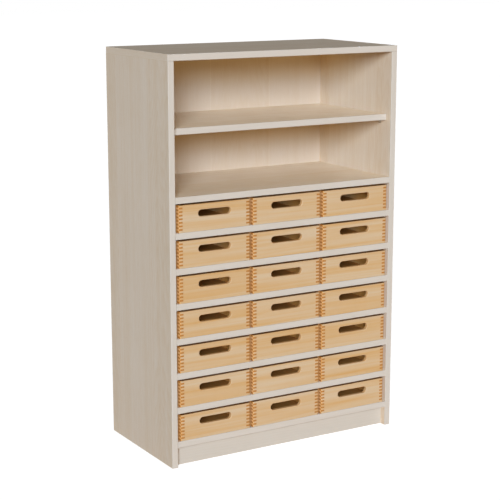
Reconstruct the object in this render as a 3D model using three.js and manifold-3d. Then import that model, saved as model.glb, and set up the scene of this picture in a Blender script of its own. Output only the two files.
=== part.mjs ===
// Tray storage unit for a classroom: a board cabinet with an open upper part and rows of loose wooden trays.
// Millimetres, +Z up. The origin is on the floor at the middle of the footprint, and the front faces -Y.

import * as THREE from 'three';
import { mergeVertices } from 'three/addons/utils/BufferGeometryUtils.js';
import Module from 'manifold-3d';

const wasm = await Module();
wasm.setup();

// Cabinet
const WIDTH = 785;
const DEPTH = 400;
const BOARD = 19;
const PLINTH_HEIGHT = 60;
const PLINTH_SETBACK = 22;
const OPEN_BAY = 383;

// Back panel in its rebate
const BACK_THICKNESS = 8;
const BACK_INSET = 2;
const BACK_PLAY = 0.5;
const REBATE_COVER = 9;

// Loose shelf and its supports
const LOOSE_SHELF_LIFT = 173.5;
const LOOSE_SHELF_SETBACK = 23;
const LOOSE_SHELF_PLAY = 1;
const SUPPORT_INSET = 32;
const SUPPORT_WIDTH = 11;
const SUPPORT_DROP = 12;
const SUPPORT_REACH = 10;
const SUPPORT_METAL = 2;
const PEG_RADIUS = 2.5;

// Dowels and blind bores
const DOWEL_RADIUS = 4;
const DOWEL_ROOT = 18;
const DOWEL_INSET = 40;
const DOWEL_EDGE = 15;
const BORE_COVER = 7;
const BORE_PLAY = 0.3;
const ROD_SIDES = 12;

// Trays
const TRAY_ROWS = 7;
const TRAY_COLUMNS = 3;
const TRAY_BAY = 84.5;
const TRAY_GAP = 9.75;
const TRAY_HEADROOM = 4.2;
const TRAY_RECESS = 1;
const TRAY_REAR_PLAY = 2;
const TRAY_GLIDE = 0.3;
const TRAY_WALL = 13;
const TRAY_CORNER = 3;
const CORNER_STEPS = 2;

// Grip slot in the front of a tray
const SLOT_WIDTH = 107;
const SLOT_HEIGHT = 20;
const SLOT_DROP = 18.5;
const SLOT_STEPS = 5;

// Bottom panel of a tray
const BOTTOM_THICKNESS = 5;
const BOTTOM_LIFT = 8;
const BOTTOM_PLAY = 0.3;
const GROOVE_COVER = 7;

// Places worked out from the driving dimensions
const front = -DEPTH / 2;
const rear = DEPTH / 2;
const innerFace = WIDTH / 2 - BOARD;
const rebateWidth = BOARD - REBATE_COVER;
const backFace = rear - BACK_INSET - BACK_THICKNESS;
const trayPitch = TRAY_BAY + BOARD;
const sideHeight = PLINTH_HEIGHT + TRAY_ROWS * trayPitch + BOARD + OPEN_BAY;
const boreReach = BOARD - BORE_COVER;
const dowelRows = [front + DOWEL_INSET, backFace - DOWEL_INSET];
const sides = [
  { name: 'left', sign: -1 },
  { name: 'right', sign: 1 },
];

const decor = new THREE.MeshStandardMaterial({ color: 0xd8ccba, roughness: 0.45, flatShading: true });
const pine = new THREE.MeshStandardMaterial({ color: 0xd8b58a, roughness: 0.55, flatShading: true });
const plywood = new THREE.MeshStandardMaterial({ color: 0xdcc7a0, roughness: 0.6, flatShading: true });
const steel = new THREE.MeshStandardMaterial({
  color: 0xa3a5a6,
  roughness: 0.35,
  metalness: 0.9,
  flatShading: true,
});

// Solids: three.js shapes turned into closed solids that can be joined and cut
function solidOf(geometry) {
  geometry.deleteAttribute('normal');
  geometry.deleteAttribute('uv');
  const merged = mergeVertices(geometry);
  const vertProperties = new Float32Array(merged.attributes.position.array);
  const triVerts = new Uint32Array(merged.index.array);
  return new wasm.Manifold(new wasm.Mesh({ numProp: 3, vertProperties, triVerts }));
}

function geometryOf(solid) {
  const { vertProperties, triVerts } = solid.getMesh();
  const geometry = new THREE.BufferGeometry();
  geometry.setAttribute('position', new THREE.BufferAttribute(vertProperties, 3));
  geometry.setIndex(new THREE.BufferAttribute(triVerts, 1));
  geometry.computeVertexNormals();
  return geometry;
}

// A box between two opposite corners, given in any order
function block(cornerA, cornerB) {
  const box = new THREE.Box3().setFromPoints([new THREE.Vector3(...cornerA), new THREE.Vector3(...cornerB)]);
  const size = box.getSize(new THREE.Vector3());
  const centre = box.getCenter(new THREE.Vector3());
  return solidOf(new THREE.BoxGeometry(size.x, size.y, size.z).translate(centre.x, centre.y, centre.z));
}

// A round rod between the centres of its two ends
function rod(start, end, radius) {
  const from = new THREE.Vector3(...start);
  const way = new THREE.Vector3(...end).sub(from);
  const geometry = new THREE.CylinderGeometry(radius, radius, way.length(), ROD_SIDES);
  const turn = new THREE.Quaternion().setFromUnitVectors(new THREE.Vector3(0, 1, 0), way.clone().normalize());
  const middle = from.addScaledVector(way, 0.5);
  return solidOf(geometry.applyQuaternion(turn).translate(middle.x, middle.y, middle.z));
}

function addMesh(group, name, solid, material) {
  const mesh = new THREE.Mesh(geometryOf(solid), material);
  mesh.name = name;
  group.add(mesh);
}

// Dowels that run along X from a board's two ends into the sides, and the bores that take them
function sideDowel(sign, y, z) {
  return rod([sign * (innerFace - DOWEL_ROOT), y, z], [sign * (innerFace + boreReach), y, z], DOWEL_RADIUS);
}

function sideBore(sign, y, z, radius) {
  const start = [sign * (innerFace - BORE_PLAY), y, z];
  const end = [sign * (innerFace + boreReach + BORE_PLAY), y, z];
  return rod(start, end, radius + BORE_PLAY);
}

function joinDowels(solid, places) {
  for (const { sign } of sides) {
    for (const [y, z] of places) {
      solid = solid.add(sideDowel(sign, y, z));
    }
  }
  return solid;
}

// Level 0 is the bottom shelf, the last level is the fixed shelf over the trays
const shelfUnderside = (level) => PLINTH_HEIGHT + level * trayPitch;
const levels = Array.from({ length: TRAY_ROWS + 1 }, (_, level) => level);
const shelfDowels = (level) => dowelRows.map((y) => [y, shelfUnderside(level) + BOARD / 2]);

const plinthFront = front + PLINTH_SETBACK;
const plinthDowels = [DOWEL_EDGE, PLINTH_HEIGHT - DOWEL_EDGE].map((z) => [plinthFront + BOARD / 2, z]);

const looseUnderside = shelfUnderside(TRAY_ROWS) + BOARD + LOOSE_SHELF_LIFT;
const looseFront = front + LOOSE_SHELF_SETBACK;
const looseRear = backFace - LOOSE_SHELF_PLAY;
const pegHeight = looseUnderside - SUPPORT_METAL - (SUPPORT_DROP - SUPPORT_METAL) / 2;
const supportPlaces = [
  { name: 'front', y: looseFront + SUPPORT_INSET },
  { name: 'rear', y: looseRear - SUPPORT_INSET },
];

// Top dowels stand in the upper edges of the sides and reach into bores in the top panel
const topDowelX = WIDTH / 2 - BOARD / 2;

function topDowel(sign, y) {
  const root = [sign * topDowelX, y, sideHeight - DOWEL_ROOT];
  const tip = [sign * topDowelX, y, sideHeight + boreReach];
  return rod(root, tip, DOWEL_RADIUS);
}

function topBore(sign, y) {
  const mouth = [sign * topDowelX, y, sideHeight - BORE_PLAY];
  const end = [sign * topDowelX, y, sideHeight + boreReach + BORE_PLAY];
  return rod(mouth, end, DOWEL_RADIUS + BORE_PLAY);
}

function sidePanel(sign) {
  let panel = block([sign * innerFace, front, 0], [(sign * WIDTH) / 2, rear, sideHeight]);
  const rebateEdge = sign * (innerFace + rebateWidth);
  panel = panel.subtract(block([0, backFace, -BOARD], [rebateEdge, rear + BOARD, sideHeight + BOARD]));
  const dowels = [...levels.flatMap(shelfDowels), ...plinthDowels];
  for (const [y, z] of dowels) {
    panel = panel.subtract(sideBore(sign, y, z, DOWEL_RADIUS));
  }
  for (const { y } of supportPlaces) {
    panel = panel.subtract(sideBore(sign, y, pegHeight, PEG_RADIUS));
  }
  for (const y of dowelRows) {
    panel = panel.add(topDowel(sign, y));
  }
  return panel;
}

function topPanel() {
  let panel = block([-WIDTH / 2, front, sideHeight], [WIDTH / 2, rear, sideHeight + BOARD]);
  const rebateEdge = innerFace + rebateWidth;
  const rebateTop = sideHeight + rebateWidth;
  panel = panel.subtract(block([-rebateEdge, backFace, 0], [rebateEdge, rear + BOARD, rebateTop]));
  for (const { sign } of sides) {
    for (const y of dowelRows) {
      panel = panel.subtract(topBore(sign, y));
    }
  }
  return panel;
}

function backPanel() {
  const edge = innerFace + rebateWidth - BACK_PLAY;
  const topEdge = sideHeight + rebateWidth - BACK_PLAY;
  return block([-edge, backFace, PLINTH_HEIGHT], [edge, backFace + BACK_THICKNESS, topEdge]);
}

function fixedShelf(level) {
  const under = shelfUnderside(level);
  const shelf = block([-innerFace, front, under], [innerFace, backFace, under + BOARD]);
  return joinDowels(shelf, shelfDowels(level));
}

function plinth() {
  const board = block([-innerFace, plinthFront, 0], [innerFace, plinthFront + BOARD, PLINTH_HEIGHT]);
  return joinDowels(board, plinthDowels);
}

function looseShelf() {
  const end = innerFace - LOOSE_SHELF_PLAY;
  return block([-end, looseFront, looseUnderside], [end, looseRear, looseUnderside + BOARD]);
}

// An angle of sheet metal: a plate on the side, a ledge under the shelf and a peg in the side's bore
function shelfSupport(sign, y) {
  const near = y - SUPPORT_WIDTH / 2;
  const far = y + SUPPORT_WIDTH / 2;
  const plateFace = sign * (innerFace - SUPPORT_METAL);
  const ledgeTip = sign * (innerFace - SUPPORT_REACH);
  const ledgeUnder = looseUnderside - SUPPORT_METAL;
  const plate = block([sign * innerFace, near, looseUnderside - SUPPORT_DROP], [plateFace, far, looseUnderside]);
  const ledge = block([sign * innerFace, near, ledgeUnder], [ledgeTip, far, looseUnderside]);
  const pegRoot = [sign * (innerFace - SUPPORT_METAL / 2), y, pegHeight];
  const pegTip = [sign * (innerFace + boreReach), y, pegHeight];
  return plate.add(ledge).add(rod(pegRoot, pegTip, PEG_RADIUS));
}

// A tray has its own origin at the middle of its front, on its underside
const trayWidth = (2 * innerFace - (TRAY_COLUMNS + 1) * TRAY_GAP) / TRAY_COLUMNS;
const trayDepth = backFace - TRAY_REAR_PLAY - (front + TRAY_RECESS);
const trayHeight = TRAY_BAY - TRAY_GLIDE - TRAY_HEADROOM;
const hollowWidth = trayWidth - 2 * TRAY_WALL;
const hollowDepth = trayDepth - 2 * TRAY_WALL;
const grooveDepth = TRAY_WALL - GROOVE_COVER;

function roundedOutline(width, depth, radius) {
  const edge = width / 2;
  const outline = new THREE.Shape();
  outline.moveTo(radius - edge, 0);
  outline.absarc(edge - radius, radius, radius, -Math.PI / 2, 0);
  outline.absarc(edge - radius, depth - radius, radius, 0, Math.PI / 2);
  outline.absarc(radius - edge, depth - radius, radius, Math.PI / 2, Math.PI);
  outline.absarc(radius - edge, radius, radius, Math.PI, 1.5 * Math.PI);
  return outline;
}

function gripSlot() {
  const radius = SLOT_HEIGHT / 2;
  const reach = SLOT_WIDTH / 2 - radius;
  const outline = new THREE.Shape();
  outline.absarc(reach, 0, radius, -Math.PI / 2, Math.PI / 2);
  outline.absarc(-reach, 0, radius, Math.PI / 2, 1.5 * Math.PI);
  const settings = { depth: 3 * TRAY_WALL, bevelEnabled: false, curveSegments: SLOT_STEPS };
  const cutter = new THREE.ExtrudeGeometry(outline, settings);
  const height = trayHeight - SLOT_DROP - radius;
  return solidOf(cutter.rotateX(Math.PI / 2).translate(0, 2 * TRAY_WALL, height));
}

function trayFrame() {
  const settings = { depth: trayHeight, bevelEnabled: false, curveSegments: CORNER_STEPS };
  const outline = roundedOutline(trayWidth, trayDepth, TRAY_CORNER);
  const body = solidOf(new THREE.ExtrudeGeometry(outline, settings));
  const hollowStart = [-hollowWidth / 2, TRAY_WALL, -TRAY_WALL];
  const hollowEnd = [hollowWidth / 2, trayDepth - TRAY_WALL, trayHeight + TRAY_WALL];
  const grooveEdge = hollowWidth / 2 + grooveDepth;
  const grooveStart = [-grooveEdge, TRAY_WALL - grooveDepth, BOTTOM_LIFT];
  const grooveTop = BOTTOM_LIFT + BOTTOM_THICKNESS + 2 * BOTTOM_PLAY;
  const grooveEnd = [grooveEdge, trayDepth - TRAY_WALL + grooveDepth, grooveTop];
  return body.subtract(block(hollowStart, hollowEnd)).subtract(block(grooveStart, grooveEnd)).subtract(gripSlot());
}

function trayBottom() {
  const overlap = grooveDepth - BOTTOM_PLAY;
  const edge = hollowWidth / 2 + overlap;
  const under = BOTTOM_LIFT + BOTTOM_PLAY;
  const rearEdge = TRAY_WALL + hollowDepth + overlap;
  return block([-edge, TRAY_WALL - overlap, under], [edge, rearEdge, under + BOTTOM_THICKNESS]);
}

const unit = new THREE.Group();

for (const { name, sign } of sides) {
  addMesh(unit, `${name}_side`, sidePanel(sign), decor);
  for (const place of supportPlaces) {
    addMesh(unit, `shelf_support_${place.name}_${name}`, shelfSupport(sign, place.y), steel);
  }
}
addMesh(unit, 'top_panel', topPanel(), decor);
addMesh(unit, 'back_panel', backPanel(), decor);
addMesh(unit, 'plinth', plinth(), decor);
addMesh(unit, 'loose_shelf', looseShelf(), decor);
for (const level of levels) {
  const between = level === TRAY_ROWS ? 'fixed_shelf' : `tray_shelf_${level}`;
  addMesh(unit, level === 0 ? 'bottom_shelf' : between, fixedShelf(level), decor);
}

// Row 1 is the lowest row and column 1 the left one, seen from the front
const frameSolid = trayFrame();
const bottomSolid = trayBottom();
for (let row = 1; row <= TRAY_ROWS; row += 1) {
  for (let column = 1; column <= TRAY_COLUMNS; column += 1) {
    const tray = new THREE.Group();
    const across = (column - (TRAY_COLUMNS + 1) / 2) * (trayWidth + TRAY_GAP);
    tray.position.set(across, front + TRAY_RECESS, shelfUnderside(row - 1) + BOARD + TRAY_GLIDE);
    addMesh(tray, `tray_r${row}_c${column}_frame`, frameSolid, pine);
    addMesh(tray, `tray_r${row}_c${column}_bottom`, bottomSolid, plywood);
    unit.add(tray);
  }
}

export default unit;
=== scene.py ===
# %% [markdown]
# Tray storage unit for a classroom.
#
# A board cabinet with an open upper part stands on the floor. Under its fixed shelf, loose pine trays lie
# in rows, each a finger-jointed box with a grip slot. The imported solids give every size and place, and this
# lesson dresses them: first the camera and the light, then the finishes, then the boards, the trays and the
# metal.

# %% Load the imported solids
import math
import random

import bmesh
import bpy
import numpy as np
from mathutils import Matrix, Vector


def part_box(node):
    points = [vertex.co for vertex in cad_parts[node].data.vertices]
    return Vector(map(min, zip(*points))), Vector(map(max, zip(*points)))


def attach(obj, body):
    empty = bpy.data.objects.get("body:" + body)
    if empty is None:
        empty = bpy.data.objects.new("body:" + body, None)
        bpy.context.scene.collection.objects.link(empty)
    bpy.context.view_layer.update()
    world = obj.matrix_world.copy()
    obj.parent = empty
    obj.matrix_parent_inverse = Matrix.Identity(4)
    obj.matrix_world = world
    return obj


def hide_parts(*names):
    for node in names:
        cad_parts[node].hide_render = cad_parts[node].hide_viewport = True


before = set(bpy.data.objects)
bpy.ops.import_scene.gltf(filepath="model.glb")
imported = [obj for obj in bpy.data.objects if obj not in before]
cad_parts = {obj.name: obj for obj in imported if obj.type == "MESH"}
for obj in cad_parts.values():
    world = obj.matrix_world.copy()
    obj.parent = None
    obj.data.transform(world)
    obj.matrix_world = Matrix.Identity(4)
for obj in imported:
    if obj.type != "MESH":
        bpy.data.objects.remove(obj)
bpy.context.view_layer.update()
MM = 0.001
X, Y, Z = 0, 1, 2

# %% [markdown]
# The camera.
#
# The picture was taken from the front left, from a little above the top, with a long lens. A long lens far
# away keeps the uprights nearly parallel. A constraint could aim the camera at the unit, but a yaw and a
# pitch hold it exactly where the picture needs it. The lens follows from the focal length in pixels of a
# square picture.

# %% Place the camera
PICTURE_PIXELS = 500
FOCAL_PIXELS = 1399.3
SENSOR_WIDTH = 36.0
CAMERA_YAW = math.radians(30.87)
CAMERA_PITCH = math.radians(11.9)
CAMERA_PLACE = Vector((-2.1885, -3.646, 1.473))


def make_camera():
    camera_data = bpy.data.cameras.new("picture_camera")
    camera_data.sensor_width = SENSOR_WIDTH
    camera_data.lens = SENSOR_WIDTH * FOCAL_PIXELS / PICTURE_PIXELS
    camera = bpy.data.objects.new("picture_camera", camera_data)
    camera.location = CAMERA_PLACE
    camera.rotation_euler = (math.pi / 2 - CAMERA_PITCH, 0.0, -CAMERA_YAW)
    bpy.context.scene.collection.objects.link(camera)
    bpy.context.scene.camera = camera


make_camera()
bpy.context.scene.view_settings.view_transform = "Standard"
print("lens in mm:", round(bpy.context.scene.camera.data.lens, 2))

# %% [markdown]
# Building node trees.
#
# Shader trees and Geometry Nodes trees are built the same way: make a node, set its values, and wire
# sockets. One small helper does all three. A value that is itself a socket becomes a wire, a list of
# sockets becomes several wires into one multi-input socket, and anything else becomes the socket's own
# value. The other helpers name the sums that come up again and again.

# %% Helpers for nodes
FLOAT = "NodeSocketFloat"
INT = "NodeSocketInt"
VECTOR = "NodeSocketVector"
GEOMETRY = "NodeSocketGeometry"
MATERIAL = "NodeSocketMaterial"


def add(tree, kind, inputs=None, **settings):
    made = tree.nodes.new(kind)
    for name, value in settings.items():
        setattr(made, name, value)
    for key, value in (inputs or {}).items():
        wires = value if isinstance(value, list) else [value]
        if isinstance(wires[0], bpy.types.NodeSocket):
            for wire in wires:
                tree.links.new(wire, made.inputs[key])
        else:
            made.inputs[key].default_value = value
    return made


def new_group(name, kind, inputs, outputs):
    tree = bpy.data.node_groups.new(name, kind)
    for socket_name, socket_type in inputs.items():
        tree.interface.new_socket(socket_name, in_out="INPUT", socket_type=socket_type)
    for socket_name, socket_type in outputs.items():
        tree.interface.new_socket(socket_name, in_out="OUTPUT", socket_type=socket_type)
    return tree, add(tree, "NodeGroupInput").outputs, add(tree, "NodeGroupOutput").inputs


print("socket types:", FLOAT, INT, VECTOR, GEOMETRY, MATERIAL)


# %% Sums of single values
def calc(tree, operation, first, second=0.0):
    return add(tree, "ShaderNodeMath", {0: first, 1: second}, operation=operation).outputs[0]


def half(tree, length):
    return calc(tree, "MULTIPLY", length, 0.5)


def twice(tree, length):
    return calc(tree, "MULTIPLY", length, 2.0)


def negative(tree, length):
    return calc(tree, "MULTIPLY", length, -1.0)


def both(tree, first, second):
    return calc(tree, "MULTIPLY", first, second)


def opposite(tree, mask):
    return calc(tree, "SUBTRACT", 1.0, mask)


def add_scaled(tree, mask, weight, total):
    values = {0: mask, 1: weight, 2: total}
    return add(tree, "ShaderNodeMath", values, operation="MULTIPLY_ADD").outputs[0]


def mix_values(tree, share, first, second):
    return add_scaled(tree, share, second - first, first)


def step_between(tree, value, start, end):
    limits = {0: value, 1: start, 2: end}
    return add(tree, "ShaderNodeMapRange", limits, interpolation_type="SMOOTHSTEP").outputs[0]


print("sums of values ready")


# %% Sums of places
def calc_vector(tree, operation, first, second):
    return add(tree, "ShaderNodeVectorMath", {0: first, 1: second}, operation=operation).outputs[0]


def vector_length(tree, vector):
    return add(tree, "ShaderNodeVectorMath", {0: vector}, operation="LENGTH").outputs["Value"]


def join_axes(tree, x=0.0, y=0.0, z=0.0):
    return add(tree, "ShaderNodeCombineXYZ", {0: x, 1: y, 2: z}).outputs[0]


def split_axes(tree, vector):
    return add(tree, "ShaderNodeSeparateXYZ", {0: vector}).outputs


def object_place(tree):
    return add(tree, "ShaderNodeTexCoord").outputs["Object"]


def stretched_noise(tree, place, stretch, detail, roughness=0.5):
    stretched = calc_vector(tree, "MULTIPLY", place, stretch)
    values = {"Vector": stretched, "Scale": 1.0, "Detail": detail, "Roughness": roughness}
    return add(tree, "ShaderNodeTexNoise", values).outputs


print("sums of places ready")

# %% [markdown]
# The lamps.
#
# One large soft lamp stands low at the front left, so the front is brightest, the left side a little darker
# and the top much darker. Its light is a touch cool, and what comes back from the wood and the dim sky is
# warm, which gives the depth inside its colour. A faint broad lamp fills from the front, and one behind
# keeps the back and the right side readable. Area lamps would do as well, but a sun with a wide angle
# lights the whole height of the unit evenly.

# %% Make the lamps
LAMPS = {
    "key_lamp": dict(turn=32.5, height=16.0, strength=2.9, spread=20.0, color=(0.825, 0.980, 1.148)),
    "fill_lamp": dict(turn=0.0, height=5.0, strength=0.43, spread=70.0, color=(1.480, 1.000, 0.460)),
    "rear_lamp": dict(turn=-138.0, height=2.0, strength=3.2, spread=25.0, color=(0.840, 0.985, 1.180)),
}


def make_lamp(name, turn, height, strength, spread, color):
    lamp_data = bpy.data.lights.new(name, "SUN")
    lamp_data.energy = strength
    lamp_data.color = color
    lamp_data.angle = math.radians(spread)
    lamp = bpy.data.objects.new(name, lamp_data)
    lamp.rotation_euler = (math.pi / 2 - math.radians(height), 0.0, -math.radians(turn))
    bpy.context.scene.collection.objects.link(lamp)


for lamp_name, lamp_values in LAMPS.items():
    make_lamp(lamp_name, **lamp_values)
print("lamps:", list(LAMPS))

# %% [markdown]
# Sky and floor.
#
# The unit stands on a plain pale floor in a white room. Enough lamps could make such a room white, but they
# would wash out the wood too. So Light Path tells two kinds of rays apart: those that look straight at the
# sky or the floor see white, with the unit's shadow on it, while the light that bounces into the unit is
# that of a warm floor and a dim sky.

# %% Make the sky
SKY_LIGHT = 0.14
SKY_COLOR = (1.15, 0.91, 0.58, 1.0)
WHITE = (1.0, 1.0, 1.0, 1.0)


def seen_directly(tree):
    path = add(tree, "ShaderNodeLightPath").outputs
    seen = calc(tree, "MAXIMUM", path["Is Camera Ray"], path["Is Glossy Ray"])
    return calc(tree, "MAXIMUM", seen, path["Is Transmission Ray"])


def make_sky():
    world = bpy.data.worlds.new("white_room")
    world.use_nodes = True
    tree = world.node_tree
    tree.nodes.clear()
    dim = add(tree, "ShaderNodeBackground", {"Color": SKY_COLOR, "Strength": SKY_LIGHT}).outputs[0]
    white = add(tree, "ShaderNodeBackground", {"Color": WHITE, "Strength": 1.0}).outputs[0]
    mix = add(tree, "ShaderNodeMixShader", {0: seen_directly(tree), 1: dim, 2: white}).outputs[0]
    add(tree, "ShaderNodeOutputWorld", {"Surface": mix})
    bpy.context.scene.world = world


make_sky()
print("sky:", bpy.context.scene.world.name)

# %% Make the floor
FLOOR_GREY = (0.42, 0.42, 0.42, 1.0)
FLOOR_WARM = (0.56, 0.330, 0.135, 1.0)
FLOOR_GLOW = 0.84
FLOOR_SIZE = 60.0


def make_floor_finish():
    material = bpy.data.materials.new("pale_floor")
    material.use_nodes = True
    tree = material.node_tree
    tree.nodes.clear()
    matt = add(tree, "ShaderNodeBsdfDiffuse", {"Color": FLOOR_GREY}).outputs[0]
    warm = add(tree, "ShaderNodeBsdfDiffuse", {"Color": FLOOR_WARM}).outputs[0]
    glow = add(tree, "ShaderNodeEmission", {"Color": WHITE, "Strength": FLOOR_GLOW}).outputs[0]
    pale = add(tree, "ShaderNodeAddShader", {0: matt, 1: glow}).outputs[0]
    mix = add(tree, "ShaderNodeMixShader", {0: seen_directly(tree), 1: warm, 2: pale}).outputs[0]
    add(tree, "ShaderNodeOutputMaterial", {"Surface": mix})
    return material


def make_floor():
    reach = FLOOR_SIZE / 2
    corners = [(-reach, -reach, 0), (reach, -reach, 0), (reach, reach, 0), (-reach, reach, 0)]
    mesh = bpy.data.meshes.new("floor")
    mesh.from_pydata(corners, [], [(0, 1, 2, 3)])
    mesh.materials.append(make_floor_finish())
    floor = bpy.data.objects.new("floor", mesh)
    bpy.context.scene.collection.objects.link(floor)


make_floor()
print("floor in m:", FLOOR_SIZE)

# %% [markdown]
# The wood pattern.
#
# Every board carries an attribute named grain: a place in its own log, in metres, with the first number
# along the fibres. A pattern that reads it turns with the board, and a random shift per board makes no two
# alike. One shader group makes growth rings, fine fibres, short flecks and slow clouds from it. Each noise
# is stretched, with far fewer waves to the metre along the fibres than across them. Each wood finish then
# mixes these masks with its own colours.

# %% Shader group for wood
WOOD_NOISES = {
    "sway": {"stretch": (1.6, 9.0, 9.0), "detail": 2.0},
    "drift": {"stretch": (0.9, 55.0, 55.0), "detail": 1.0},
    "fibres": {"stretch": (16.0, 850.0, 850.0), "detail": 2.0},
    "flecks": {"stretch": (110.0, 1700.0, 1700.0), "detail": 0.0},
    "clouds": {"stretch": (1.6, 38.0, 38.0), "detail": 2.0},
}
NOISE_MIDDLE = (0.5, 0.5, 0.5)
ACROSS_ONLY = (0.0, 1.0, 1.0)
RING_DRIFT = 2.2
RING_FALL = (1.0, 0.82)
FLECK_LIMITS = (0.62, 0.74)


def make_wood_group():
    inputs = {"Grain": VECTOR, "Ring Width": FLOAT, "Waviness": FLOAT, "Taper": FLOAT, "Sharpness": FLOAT}
    outputs = {"Rings": FLOAT, "Fibres": FLOAT, "Flecks": FLOAT, "Clouds": FLOAT}
    tree, given, out = new_group("Wood pattern", "ShaderNodeTree", inputs, outputs)
    grain = given["Grain"]
    noise = {name: stretched_noise(tree, grain, **values) for name, values in WOOD_NOISES.items()}
    centred = calc_vector(tree, "SUBTRACT", noise["sway"]["Color"], NOISE_MIDDLE)
    scaled = {0: centred, "Scale": given["Waviness"]}
    sway = add(tree, "ShaderNodeVectorMath", scaled, operation="SCALE").outputs[0]
    across = calc_vector(tree, "MULTIPLY", calc_vector(tree, "ADD", grain, sway), ACROSS_ONLY)
    radius = add_scaled(tree, split_axes(tree, grain)[X], given["Taper"], vector_length(tree, across))
    drift = calc(tree, "MULTIPLY", noise["drift"][0], RING_DRIFT)
    count = calc(tree, "ADD", calc(tree, "DIVIDE", radius, given["Ring Width"]), drift)
    phase = calc(tree, "FRACT", count)
    rise = calc(tree, "POWER", phase, given["Sharpness"])
    tree.links.new(both(tree, rise, step_between(tree, phase, *RING_FALL)), out["Rings"])
    tree.links.new(noise["fibres"][0], out["Fibres"])
    tree.links.new(step_between(tree, noise["flecks"][0], *FLECK_LIMITS), out["Flecks"])
    tree.links.new(noise["clouds"][0], out["Clouds"])
    return tree


wood_group = make_wood_group()
print("shader group:", wood_group.name, "nodes:", len(wood_group.nodes))

# %% [markdown]
# Leaves of decor.
#
# A decor sheet shows leaves of wood laid side by side, each about two hands wide. They alternate: one is
# cut beside the heart of the log and has straight streaks, the next is cut flat and has arches. A group
# numbers the leaves across the grain and gives each its own shift, with a faint seam where two leaves meet.
# How far a leaf lies beside the heart is counted in leaf widths.

# %% Shader group for leaves
LEAF_SLIDE = 7.0
LEAF_LIFT = 50.0 * MM
STRAIGHT_ASIDE = 0.9
FLAT_ASIDE = -0.3
ASIDE_CHANCE = 0.4
SEAM_LIMITS = (0.490, 0.498)


def make_leaf_group():
    inputs = {"Grain": VECTOR, "Leaf Width": FLOAT}
    outputs = {"Grain": VECTOR, "Seam": FLOAT, "Tone": FLOAT, "Flat": FLOAT}
    tree, given, out = new_group("Decor leaves", "ShaderNodeTree", inputs, outputs)
    axes = split_axes(tree, given["Grain"])
    count = calc(tree, "DIVIDE", axes[Y], given["Leaf Width"])
    number = calc(tree, "FLOOR", count)
    chance = add(tree, "ShaderNodeTexWhiteNoise", {"W": number}, noise_dimensions="1D").outputs
    draw = add(tree, "ShaderNodeSeparateColor", {0: chance["Color"]}).outputs
    inside = calc(tree, "SUBTRACT", calc(tree, "SUBTRACT", count, number), 0.5)
    flat = calc(tree, "FLOORED_MODULO", number, 2.0)
    along = add_scaled(tree, draw[0], LEAF_SLIDE, axes[X])
    aside = add_scaled(tree, draw[1], ASIDE_CHANCE, mix_values(tree, flat, STRAIGHT_ASIDE, FLAT_ASIDE))
    across = calc(tree, "MULTIPLY", calc(tree, "ADD", inside, aside), given["Leaf Width"])
    deep = add_scaled(tree, draw[2], LEAF_LIFT, axes[Z])
    tree.links.new(join_axes(tree, along, across, deep), out["Grain"])
    tree.links.new(step_between(tree, calc(tree, "ABSOLUTE", inside), *SEAM_LIMITS), out["Seam"])
    tree.links.new(chance["Value"], out["Tone"])
    tree.links.new(flat, out["Flat"])
    return tree


leaf_group = make_leaf_group()
print("shader group:", leaf_group.name, "nodes:", len(leaf_group.nodes))

# %% [markdown]
# Handling marks.
#
# No surface in a classroom stays even: hands, dust cloths and sliding things leave soft patches that are a
# little duller or shinier. A shader group makes such patches from Object coordinates, for every finish. One
# even roughness would be simpler, but it gives each board the same dead gloss.

# %% Shader group for handling marks
PATCH_DETAIL = 4.0
PATCH_LIMITS = (0.35, 0.65)


def make_handling_group():
    inputs = {"Base": FLOAT, "Amount": FLOAT, "Scale": FLOAT}
    outputs = {"Roughness": FLOAT, "Patch": FLOAT}
    tree, given, out = new_group("Handling marks", "ShaderNodeTree", inputs, outputs)
    values = {"Vector": object_place(tree), "Scale": given["Scale"], "Detail": PATCH_DETAIL}
    broad = add(tree, "ShaderNodeTexNoise", values).outputs[0]
    patch = step_between(tree, broad, *PATCH_LIMITS)
    change = calc(tree, "MULTIPLY", calc(tree, "SUBTRACT", patch, 0.5), given["Amount"])
    tree.links.new(calc(tree, "ADD", given["Base"], change), out["Roughness"])
    tree.links.new(patch, out["Patch"])
    return tree


handling_group = make_handling_group()
print("shader group:", handling_group.name, "nodes:", len(handling_group.nodes))

# %% [markdown]
# Corners that the light misses.
#
# The inside of an open bay has painted shade: a warm honey tint where the board above keeps it in the
# shade, most so far back. A group measures how far a point lies under the next board and how deep it is,
# for the back and for the inner faces of the sides. It could be painted by hand on each board, but measured
# it fits any height of the loose shelf.

# %% Shader group for painted shade in corners
PAINTED_SHADE_DROP = 140.0 * MM
PAINTED_SHADE_START = 60.0 * MM


def make_painted_shade_group():
    inputs = {"Upper Ceiling": FLOAT, "Lower Ceiling": FLOAT, "Front": FLOAT, "Back": FLOAT}
    outputs = {"Painted Shade": FLOAT, "Upper Bay": FLOAT}
    tree, given, out = new_group("Painted shade in corners", "ShaderNodeTree", inputs, outputs)
    axes = split_axes(tree, object_place(tree))
    upper_bay = calc(tree, "GREATER_THAN", axes[Z], given["Lower Ceiling"])
    bay_step = calc(tree, "SUBTRACT", given["Upper Ceiling"], given["Lower Ceiling"])
    ceiling = add_scaled(tree, upper_bay, bay_step, given["Lower Ceiling"])
    under = step_between(tree, calc(tree, "SUBTRACT", ceiling, axes[Z]), PAINTED_SHADE_DROP, 0.0)
    start = calc(tree, "ADD", given["Front"], PAINTED_SHADE_START)
    deep = step_between(tree, axes[Y], start, given["Back"])
    tree.links.new(both(tree, under, deep), out["Painted Shade"])
    tree.links.new(upper_bay, out["Upper Bay"])
    return tree


painted_shade_group = make_painted_shade_group()
print("shader group:", painted_shade_group.name, "nodes:", len(painted_shade_group.nodes))

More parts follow.
